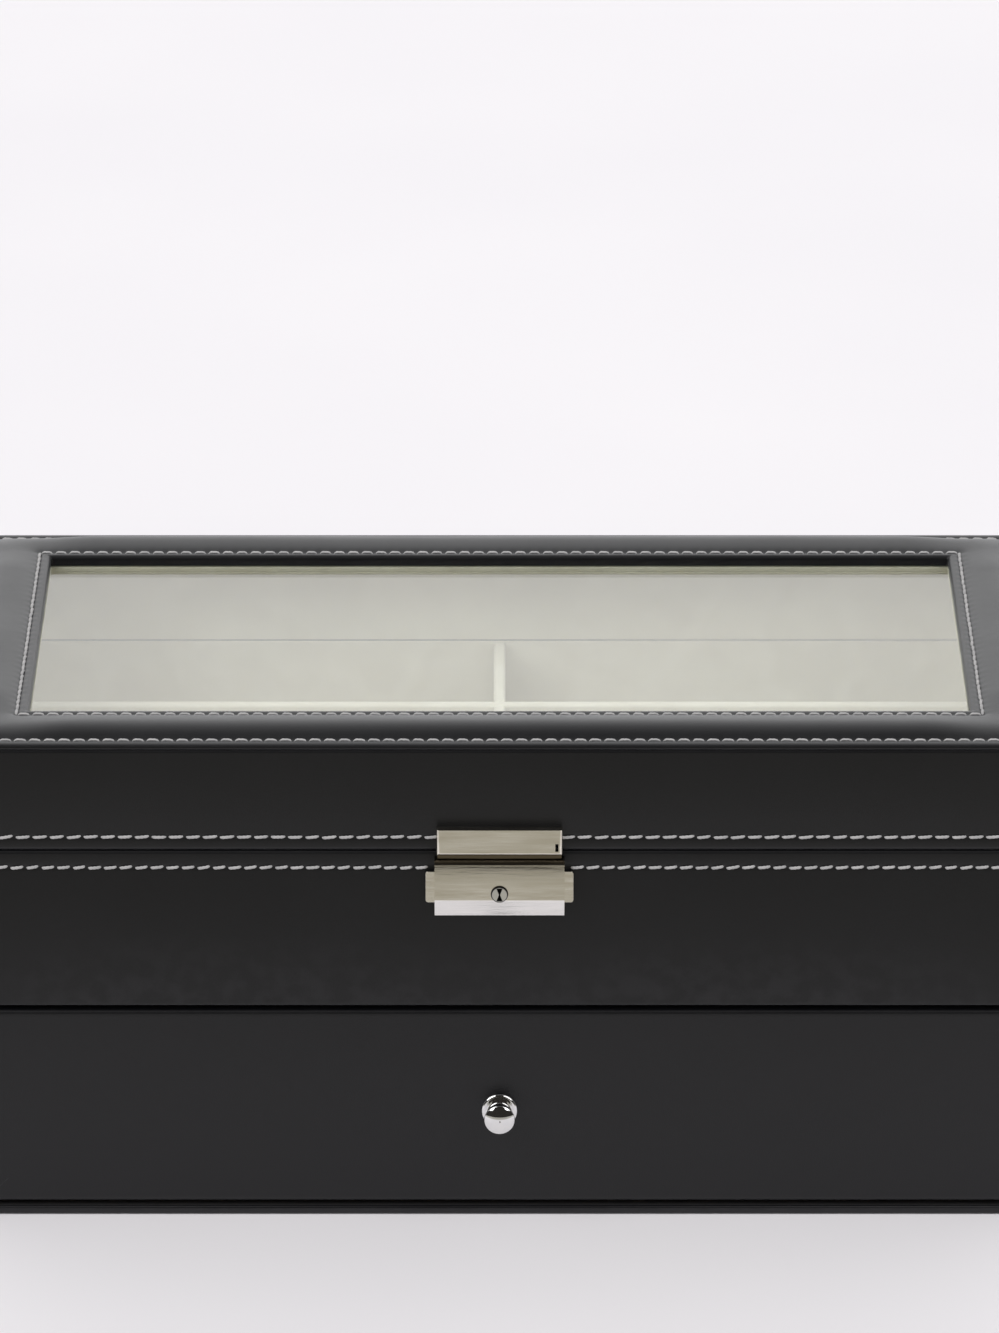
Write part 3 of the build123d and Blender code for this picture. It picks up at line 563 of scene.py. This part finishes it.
def furrow(height):
    """A section's points across a row of stitches, from above down, as (inset, height)."""
    return [(furrow_depth * share, height + rise) for share, rise in
            ((0.0, 1.3), (0.35, 0.75), (1.0, 0.0), (0.35, -0.75), (0.0, -1.3))]


def turned_edge(radius, steps=6):
    """An edge turned over, as (inset, distance from the edge), from the face round to the flat side."""
    angles = np.linspace(0, math.pi / 2, steps)
    return [(radius * (1 - math.cos(a)), radius * (1 - math.sin(a))) for a in angles]


def carry_round(section, cuts_u, cuts_v):
    """Rings from a section of (inset, height), carried round the outline of the box."""
    rings = []
    for inset, height in section:
        corner = max(corner_radius - inset, 0.25)
        ring = rounded_ring(half_width - inset, half_depth - inset, corner, cuts_u, cuts_v)
        rings.append(np.column_stack([ring, np.full(len(ring), height)]))
    return np.array(rings)


even = np.linspace(-1, 1, 13)
lid_section = [(0.75, seam - 0.02), (0.28, seam - 0.2), (0.05, seam - 0.65), (0.0, seam - 1.2)]
lid_section += furrow(lid_row) + [(inset, lid_low + up) for inset, up in turned_edge(edge_radius)]
lid_section += [(wall, lid_low), (wall, lid_low + 0.75), (2.0, lid_low + 0.78), (0.9, lid_low + 1.9)]
lid_section += [(leather, seam - 1.2)]
lid_rings = carry_round(lid_section, even, even)
add_piece("lid_side_strip", lid_rings, join_rings(lid_rings, True), leatherette, "lid", ["lid_side_cover"])

# %% [markdown]
# The wrap of the case is cut open at the front for the drawer. Its rings have points right at the
# opening's edges, so the quads inside it are simply left out of both layers, and a band of quads joins
# the layers round the hole.

# %% The wrap of the case
hole_low, hole_top = base_top - leather, apron_low + leather
hole_cuts = np.sort(np.concatenate([even, np.array([-1, 1]) * bay_x / (half_width - corner_radius)]))
case_section = [(wall, case_height - leather), (wall, case_height)]
case_section += [(inset, case_height - down) for inset, down in turned_edge(edge_radius)][::-1]
case_section += furrow(case_row) + [(0.0, hole_top), (0.0, hole_low)] + turned_edge(edge_radius)[1:]
case_section += [(turned_in, 0.0), (turned_in, 0.78), (1.6, leather), (leather, 1.5), (leather, hole_low)]
case_section += [(leather, hole_top), (leather, case_height - 1.9), (1.9, case_height - leather)]
case_rings = carry_round(case_section, hole_cuts, even)
case_quads = join_rings(case_rings, True)
middles = case_rings.reshape(-1, 3)[case_quads].mean(1)
in_hole = (middles[:, 1] < leather + 0.1 - half_depth) & (abs(middles[:, 0]) < bay_x)
in_hole &= (middles[:, 2] > hole_low) & (middles[:, 2] < hole_top)
hole_mesh = bpy.data.meshes.new("case_wrap")
hole_mesh.from_pydata((case_rings.reshape(-1, 3) * MM).tolist(), [], case_quads[~in_hole].tolist())
work = bmesh.new()
work.from_mesh(hole_mesh)
bmesh.ops.bridge_loops(work, edges=[edge for edge in work.edges if edge.is_boundary])

# %% [markdown]
# Round the drawer's opening the leatherette turns into the bay. A frame with a quarter round at its front
# covers the cut. It reaches 15 mm in at the sides, through the whole board above the drawer, and only 1 mm
# at the bottom. Each station of the frame says where it is, which way its section faces, and where it ends.

# %% The turned-in edge of the drawer's opening
clear_x = bay_x - leather
jamb_back, apron_back, sill_back = turned_in - half_depth, -bay_y, 1.0 - half_depth
step_in = leather + 0.1
right_half = [(0, base_top, 0, -1, sill_back), (1, base_top, 1, -1, sill_back),
              (1, base_top + step_in, 1, 0, jamb_back), (1, apron_low - step_in, 1, 0, jamb_back),
              (1, apron_low, 1, 1, apron_back), (0, apron_low, 0, 1, apron_back)]
stations = right_half + [(-x, z, -out_x, out_z, back) for x, z, out_x, out_z, back in right_half[::-1]]
rings = []
for x, z, out_x, out_z, back in stations:
    quarter = [(leather * (1 - math.sin(a)), leather * (1 - math.cos(a)) - half_depth)
               for a in np.linspace(0, math.pi / 2, 5)]
    section = quarter + [(0.0, back), (leather, back)]
    rings.append([(x * clear_x + out_x * out, y, z + out_z * out) for out, y in section])
edging = np.array(rings)
corners = [work.verts.new(point) for point in (edging.reshape(-1, 3) * MM).tolist()]
for quad in join_rings(edging, True):
    if len({tuple(corners[i].co) for i in quad}) == 4:
        work.faces.new([corners[i] for i in quad])
bmesh.ops.remove_doubles(work, verts=corners, dist=1e-6)
bmesh.ops.recalc_face_normals(work, faces=work.faces)
work.to_mesh(hole_mesh)
work.free()
add_mesh("case_wrap", hole_mesh, leatherette, "case", ["case_cover"])

# %% [markdown]
# ## The drawer's front
#
# The same rings, but upright: from a flat back layer round the rim and over the turned edge to the front.
# The flat front is closed by strips from its lower edge to its upper edge. One large face would do too,
# but Cycles measures how pointed a surface is at its corners only, and long strips keep that even.

# %% The wrap of the drawer's front
drawer_x, drawer_low, drawer_top = 168.4, 4.8, 72.0
front_rings = []
front_section = [(6.0, leather), (2.0, leather), (leather, 1.8), (leather, wall), (0.0, wall)]
front_section += turned_edge(1.4) + [(2.4, 0.0), (8.0, 0.0)]
half_height, middle_height = (drawer_top - drawer_low) / 2, (drawer_low + drawer_top) / 2
for inset, behind in front_section:
    ring = rounded_ring(drawer_x - inset, half_height - inset, max(1.0 - inset, 0.2), even, even)
    front_rings.append([(x, behind - half_depth, z + middle_height) for x, z in ring])
front_rings = np.array(front_rings)
faces = join_rings(front_rings, False).tolist()
per_ring = front_rings.shape[1]
for first in (0, (len(front_rings) - 1) * per_ring):
    faces += [[first + i for i in corners] for corners in close_ring(per_ring, len(even))]
add_piece("drawer_front_wrap", front_rings, faces, leatherette, "drawer", ["drawer_front_cover"])

# %% [markdown]
# ## The padded frame
#
# The top is one skin over foam, sewn down along two rows: one close to the outer edge, one round the
# window. Between the rows the foam lifts it into a soft crown. Three things make it look sewn and not
# moulded. The skin dives steeply into both rows. At every needle hole it is pinched a little deeper than
# between the holes. And towards the four corners the crown sinks, because there the skin is held from two
# sides. A cloth simulation could blow the skin up too, but on a strip this narrow it either hardly moves
# or wrinkles, so the section is drawn: each point is a distance from the outer edge and a height above the
# seam.

# %% The crown's section
frame_section = [
    (0.45, 0.03), (0.14, 0.3), (0.0, 0.75), (0.14, 1.2), (0.7, 1.65), (1.7, 1.92), (2.8, 1.95), (3.7, 1.76),
    (4.3, 1.52), (outer_row, outer_rise), (5.3, 1.55), (5.9, 1.95), (6.9, 2.75), (8.1, 3.6), (9.6, 4.4),
    (11.2, 4.95), (13.0, 5.2), (15.0, 5.18), (17.0, 4.98), (19.0, 4.66), (20.8, 4.28),
    (22.2, 3.86), (23.2, 3.45), (window_row, window_rise), (24.7, 3.38), (25.5, 3.58), (26.4, 3.58),
    (27.1, 3.3), (27.55, 2.8), (27.75, 2.1), (27.75, 0.03),
]
corner_at = ([0.0, outer_row, 12.0, 18.0, window_row, 27.75], [corner_radius, 1.4, 9.0, 7.0, 0.8, 0.6])
pitches = {row: (2 * (half_width - row) / long, 2 * (half_depth - row) / short)
           for row, (long, short) in top_counts.items()}
print("crown:", max(rise for _, rise in frame_section), "mm above the seam")

# %% [markdown]
# The section is carried round in many fine steps, four to a stitch, and each point is then lifted or
# pressed by where it is.

# %% The padded frame
def fade(value, start, end):
    """0 before start, 1 after end, smooth between; start may be the larger one."""
    share = np.clip((value - start) / (end - start), 0, 1)
    return share * share * (3 - 2 * share)


valley, pressed_down, hole_deeper = 1.5, 0.12, 0.07
skin_from, skin_to = 0.5, 27.3  # the outermost and innermost stretch of the section is left as it is


def pinch(x, y, inset):
    """How far the rows of stitches press the skin down, deepest at the needle holes."""
    pressed = np.zeros(len(x))
    on_long = (half_depth - abs(y)) < (half_width - abs(x))
    for row, (long_pitch, short_pitch) in pitches.items():
        at_hole = np.where(on_long, np.cos(2 * np.pi * x / long_pitch), np.cos(2 * np.pi * y / short_pitch))
        pressed += np.exp(-(((inset - row) / valley) ** 2)) * (pressed_down + hole_deeper * at_hole)
    return pressed


def crown_loss(x, y):
    """The share of the crown's height that is lost from 44 mm down to 20 mm before a corner."""
    further = np.maximum(half_width - abs(x), half_depth - abs(y))
    return 0.36 * fade(further, 44.0, 20.0)


def ripple(x, y):
    """Slow unevenness of the foam, up to 1 either way: waves of different lengths on top of each other."""
    hollows = np.sin(x / 13.7 + 0.8) * np.sin(y / 17.3 + 2.1)
    return (hollows + np.sin(x / 29.0 - y / 11.9) + np.sin(y / 7.9 + x / 41.0)) / 3


long_cuts, short_cuts = (np.linspace(-1, 1, 4 * count + 1) for count in top_counts[outer_row])
frame_rings = []
for inset, rise in frame_section:
    corner = np.interp(inset, *corner_at)
    ring = rounded_ring(half_width - inset, half_depth - inset, corner, long_cuts, short_cuts, 6)
    x, y = ring.T
    held = np.interp(inset, [outer_row, window_row], [outer_rise, window_rise])
    lift = max(rise - held, 0.0) if outer_row < inset < window_row else 0.0
    height = seam + rise - lift * crown_loss(x, y) + 0.05 * lift * ripple(x, y)
    if skin_from < inset < skin_to:
        height = height - pinch(x, y, inset)
    frame_rings.append(np.column_stack([ring, height]))
frame_rings = np.array(frame_rings)
padded_frame = add_piece("padded_frame", frame_rings, join_rings(frame_rings, True), leatherette, "lid",
                         ["lid_top_cover", "lid_foam_pad"])

# %% [markdown]
# ## Stitches
#
# A stitch is a short length of two-ply thread that comes up out of one hole and goes down into the next.
# So its ends dive under the skin, it is fattest in the middle, and the two plies twist round each other.
# One stitch is modelled and then laid along each row, every one turned, shifted and stretched by a hair,
# because a machine doesn't sew them all alike either.

# %% One stitch
def one_stitch(length, thickness, along=9, around=8):
    """Points of one stitch, lying along X on a surface at Z 0, and its faces."""
    steps = np.linspace(-1, 1, along)
    angles = np.arange(around) * 2 * math.pi / around
    step, angle = np.meshgrid(steps, angles, indexing="ij")
    taper = np.sqrt(1 - 0.7 * abs(step) ** 5)
    plies = 1 + 0.13 * np.cos(2 * (angle - step * length * 1.25))
    radius = thickness / 2 * taper * plies
    lift = thickness * (0.34 - 0.75 * abs(step) ** 5)
    points = np.stack([step * length / 2, radius * np.cos(angle), lift + 0.8 * radius * np.sin(angle)], -1)
    tube = join_rings(points, False).tolist()
    ends = [list(range(around)), list(range((along - 1) * around, along * around))]
    return points.reshape(-1, 3), tube + ends


def sew(name, rows, length, thickness, body, slant=0.0, seed=1):
    """Lays stitches along rows of (centres, direction, outward normal) and makes them one piece."""
    chance = np.random.default_rng(seed)
    shape, faces = one_stitch(length, thickness)
    corners, quads = [], []
    for centres, direction, outward in rows:
        across = np.cross(outward, direction)
        for centre in centres:
            turn = math.radians(slant + chance.normal(0, 1.6))
            stretch = 1 + chance.normal(0, 0.025)
            forward = math.cos(turn) * direction + math.sin(turn) * across
            sideways = np.cross(outward, forward)
            moved = centre + chance.normal(0, 0.05) * across
            quads += [[len(corners) * len(shape) + i for i in face] for face in faces]
            corners.append(moved + shape[:, :1] * stretch * forward + shape[:, 1:2] * sideways
                           + shape[:, 2:] * outward)
    print(name, "has", len(corners), "stitches")
    return add_piece(name, np.array(corners), quads, thread, body)


print("stitch:", len(one_stitch(4.6, 1.0)[0]), "points")

# %% [markdown]
# The rows run along straight sides. Where the lock or a hinge covers the wrap, the needle stopped and
# started again, so those stitches are left out.

# %% Sew the rows round the sides
axis_x, axis_y, axis_z = np.eye(3)


hinge_x, hinge_half = 110.0, 17.5  # a hinge's middle, and half of what it covers


def four_sides(inset, counts):
    """For each side its direction, outward normal, distance, half length and number of stitches."""
    across, deep, (long, short) = half_width - inset, half_depth - inset, counts
    return ((axis_x, -axis_y, deep, across, long), (axis_y, axis_x, across, deep, short),
            (-axis_x, axis_y, deep, across, long), (-axis_y, -axis_x, across, deep, short))


def side_row(height, counts, covered_front, surface=0.1):
    """A row round the four upright sides at a height, open in front where the lock covers so much of it."""
    rows = []
    for direction, outward, away, half, count in four_sides(0.0, counts):
        steps = (np.arange(count) + 0.5 - count / 2) * 2 * (half - corner_radius) / count
        if outward[1] < 0:
            steps = steps[abs(steps) > covered_front]
        if outward[1] > 0:
            steps = steps[abs(abs(steps) - hinge_x) > hinge_half]
        centres = steps[:, None] * direction + (away - surface) * outward + height * axis_z
        rows.append((centres, direction, outward))
    return rows


sew("stitches_lid_edge", side_row(lid_row, (65, 37), 19.0), 4.8, 1.0, "lid", slant=5.0, seed=3)
sew("stitches_case_edge", side_row(case_row, (71, 40), 22.0), 4.3, 1.0, "case", slant=7.0, seed=4)

# %% [markdown]
# The two rows on top lie in the valleys of the padded frame, at the height to which the skin is pressed.

# %% Sew the rows on top
def top_row(inset, rise):
    """A row round the top at a distance from the outer edge and a height above the seam."""
    rows = []
    for direction, outward, away, half, count in four_sides(inset, top_counts[inset]):
        steps = (np.arange(count) + 0.5 - count / 2) * 2 * half / count
        centres = steps[:, None] * direction + away * outward + (seam + rise) * axis_z
        rows.append((centres, direction, axis_z))
    return rows


sew("stitches_top_edge", top_row(outer_row, outer_rise), 4.1, 1.0, "lid", slant=-3.0, seed=5)
sew("stitches_window", top_row(window_row, window_rise), 3.9, 1.0, "lid", slant=-3.0, seed=6)

# %% [markdown]
# ## Velvet and felt
#
# The linings and dividers are cards wrapped in velvet, so they have no sharp edge anywhere. Their shapes
# are right in the solids. A copy of each mesh is welded, its triangles are merged back into whole faces,
# and then its edges are rounded. The four cards round a tray touch along their edges, which no bevel can
# round in one mesh, so those cards are made one by one where the solid has them.

# %% Round a copy of a solid
def rounded_copy(node, rounding, segments=3):
    """A new mesh in the shape of a node, with its sharp edges rounded by so many millimetres."""
    mesh = bpy.data.meshes.new(node)
    work = bmesh.new()
    work.from_mesh(nodes[node].data)
    bmesh.ops.remove_doubles(work, verts=work.verts, dist=1e-6)
    bmesh.ops.dissolve_limit(work, angle_limit=math.radians(1), verts=work.verts, edges=work.edges)
    sharp = [edge for edge in work.edges if edge.is_manifold and edge.calc_face_angle() > math.radians(40)]
    bmesh.ops.bevel(work, geom=sharp, offset=rounding * MM, segments=segments, profile=0.5, affect="EDGES",
                    clamp_overlap=True)
    work.to_mesh(mesh)
    work.free()
    return mesh


def line_with(name, mesh, node, body, material=velvet, slot="velvet"):
    """Puts a soft piece where a node is, shaded evenly over its flat faces."""
    piece = add_mesh(name, mesh, material, body, [node])
    piece.modifiers.new("even shading", "WEIGHTED_NORMAL").keep_sharp = True
    return piece


def line(name, node, body, rounding, **finish_and_slot):
    """The same with a rounded copy of the node."""
    return line_with(name, rounded_copy(node, rounding), node, body, **finish_and_slot)


def line_walls(name, node, body, card=1.5, rounding=0.4):
    """Stands four wrapped cards where a node has them: two from front to back, and two between them."""
    low, high = (np.array(corner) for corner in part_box(node))
    thick = card * MM
    inner_low, inner_high = low + thick, high - thick
    spans = [((low[0], inner_low[0]), (low[1], high[1])), ((inner_high[0], high[0]), (low[1], high[1])),
             ((inner_low[0], inner_high[0]), (low[1], inner_low[1])),
             ((inner_low[0], inner_high[0]), (inner_high[1], high[1]))]
    work = bmesh.new()
    for (x0, x1), (y0, y1) in spans:
        block = bmesh.ops.create_cube(work, size=1.0)["verts"]
        bmesh.ops.scale(work, vec=(x1 - x0, y1 - y0, high[2] - low[2]), verts=block)
        bmesh.ops.translate(work, vec=((x0 + x1) / 2, (y0 + y1) / 2, (low[2] + high[2]) / 2), verts=block)
    bmesh.ops.bevel(work, geom=work.edges[:], offset=rounding * MM, segments=3, profile=0.5, affect="EDGES")
    mesh = bpy.data.meshes.new(name)
    work.to_mesh(mesh)
    work.free()
    line_with(name, mesh, node, body)


card_round, divider_round = 0.3, 1.1  # how far a card's and a divider's edges are rounded
line_walls("tray_walls", "tray_wall_lining", "case")
line("tray_floor", "tray_floor_lining", "case", card_round)
line("lid_inside", "lid_lining", "lid", card_round)
line("window_edge", "window_retainer", "lid", card_round)
line_walls("drawer_walls", "drawer_wall_lining", "drawer")
line("drawer_floor", "drawer_floor_lining", "drawer", card_round)
for room, body in (("tray", "case"), ("drawer", "drawer")):
    for part in ("long_divider", "cross_divider_front", "cross_divider_rear"):
        line(f"{room}_{part}_velvet", f"{room}_{part}", body, divider_round)
felt_sheet = line("felt_under_base", "base_felt", "case", 0.25, material=felt, slot="base_felt")

# %% [markdown]
# ## Hard parts
#
# Boards, hinges, lock and knob keep their solids, which have the right shape. They get a finish, and a
# small bevel where a file or a press would leave one.

# %% Finish the hard parts
def keep(names, material, edge=0.0):
    """Gives solids a finish, and rounds their sharp edges by so many millimetres."""
    for name in names:
        solid = nodes[name]
        solid.data.materials.clear()
        solid.data.materials.append(material)
        if edge:
            solid.modifiers.new("weld", "WELD").merge_threshold = 1e-6
            flat = solid.modifiers.new("merge flat faces", "DECIMATE")
            flat.decimate_type, flat.angle_limit = "DISSOLVE", math.radians(1)
            bevel = solid.modifiers.new("edge", "BEVEL")
            bevel.width, bevel.segments, bevel.limit_method = edge * MM, 2, "ANGLE"
            bevel.angle_limit = math.radians(40)
            solid.modifiers.new("even shading", "WEIGHTED_NORMAL").weight = 90
    print(material.name, "on", len(names), "solids")


keep(["base_board"], shaded_board)
keep(["left_side_board", "right_side_board", "back_board", "apron_board", "shelf_board",
      "lid_front_rail", "lid_back_rail", "lid_left_rail", "lid_right_rail", "lid_top_board",
      "drawer_front_board", "drawer_left_side", "drawer_right_side", "drawer_back_wall", "drawer_bottom"],
     fibreboard)
keep(["lock_housing"], housing_nickel, 0.15)
keep(["hasp_plate"], hasp_nickel, 0.15)
keep(["lock_slider", "hinge_case_leaf_left", "hinge_case_leaf_right",
      "hinge_lid_leaf_left", "hinge_lid_leaf_right", "lock_back_plate"], nickel, 0.15)
keep(["lock_screws", "hasp_screws", "hinge_case_screws", "hinge_lid_screws", "hinge_pin_left",
      "hinge_pin_right", "lock_spring", "lock_cam", "knob_screw", "knob_washer"], steel)
keep(["knob", "knob_rosette"], chrome)
keep(["key_cylinder"], lock_chrome)
keep(["window_pane"], glass)

# %% [markdown]
# ## Floor, light and sky
#
# The floor is plain and pale. Two soft windows light the box from the front left and the front right, and
# the sky fills the shadows. What metal and glass mirror is as important as what lights them. A mirrored
# ray that goes back sees a pale wall, and one that goes up or to the front sees a dark room: that is the
# dark line in every curved piece of bright metal. A mirrored ray that goes down sees the floor, pale
# beside the box and in a warm shade further ahead, so that the upright faces of the lock are darker than
# its lip, which mirrors the floor straight below.

# %% The floor
pale = linear(234, 231, 233)
floor_finish, tree, shader = finish("pale table top", Roughness=0.6)
soft = group(tree, patches, Size_mm=500.0)["Value"]
plain = between(tree, soft, linear(234, 231, 234), linear(239, 236, 238))
shade_from, shade_full = -0.26, -0.36  # metres
far = ramp(tree, coordinate(tree, "Y"), shade_from, shade_full)
mirrored = calculate(tree, "MULTIPLY", far, put(tree, "ShaderNodeLightPath").outputs["Is Glossy Ray"])
tree.links.new(between(tree, mirrored, plain, linear(170, 167, 156)), shader.inputs["Base Color"])
floor_mesh = bpy.data.meshes.new("floor")
reach = 8.0
floor_corners = [(-reach, -reach, 0), (reach, -reach, 0), (reach, reach, 0), (-reach, reach, 0)]
floor_mesh.from_pydata(floor_corners, [], [(0, 1, 2, 3)])
floor_mesh.materials.append(floor_finish)
floor = bpy.data.objects.new("floor", floor_mesh)
bpy.context.scene.collection.objects.link(floor)
print("floor:", 2 * reach, "m across")

# %% Suns and sky
def sun(name, towards, strength, spread):
    """A soft sun shining from a point of the sky to the box."""
    lamp = bpy.data.lights.new(name, "SUN")
    lamp.energy, lamp.angle = strength, math.radians(spread)
    lit = bpy.data.objects.new(name, lamp)
    lit.rotation_euler = Vector(towards).to_track_quat("Z", "Y").to_euler()
    bpy.context.scene.collection.objects.link(lit)


sun("front left", (-0.66, -0.42, 0.75), 1.25, 42)
sun("front right", (0.66, -0.42, 0.75), 0.85, 42)
world = bpy.data.worlds.new("sky")
bpy.context.scene.world = world
world.use_nodes = True
tree = world.node_tree
rays = put(tree, "ShaderNodeLightPath").outputs
way = put(tree, "ShaderNodeSeparateXYZ", {0: put(tree, "ShaderNodeTexCoord").outputs["Generated"]}).outputs
dark_room, back_wall, daylight = linear(46, 44, 41), (1.5, 1.5, 1.51, 1), (0.62, 0.62, 0.63, 1)
around = between(tree, ramp(tree, way["Y"], -0.2, 0.6), dark_room, back_wall)
mirrored = between(tree, rays["Is Glossy Ray"], daylight, around)
direct = calculate(tree, "LESS_THAN", rays["Diffuse Depth"], 0.5)
through_glass = calculate(tree, "MULTIPLY", rays["Is Transmission Ray"], direct)
seen = calculate(tree, "MAXIMUM", rays["Is Camera Ray"], through_glass)
sky = tree.nodes["Background"]
tree.links.new(between(tree, seen, mirrored, pale), sky.inputs["Color"])
print("sky:", [round(value, 2) for value in pale[:3]])
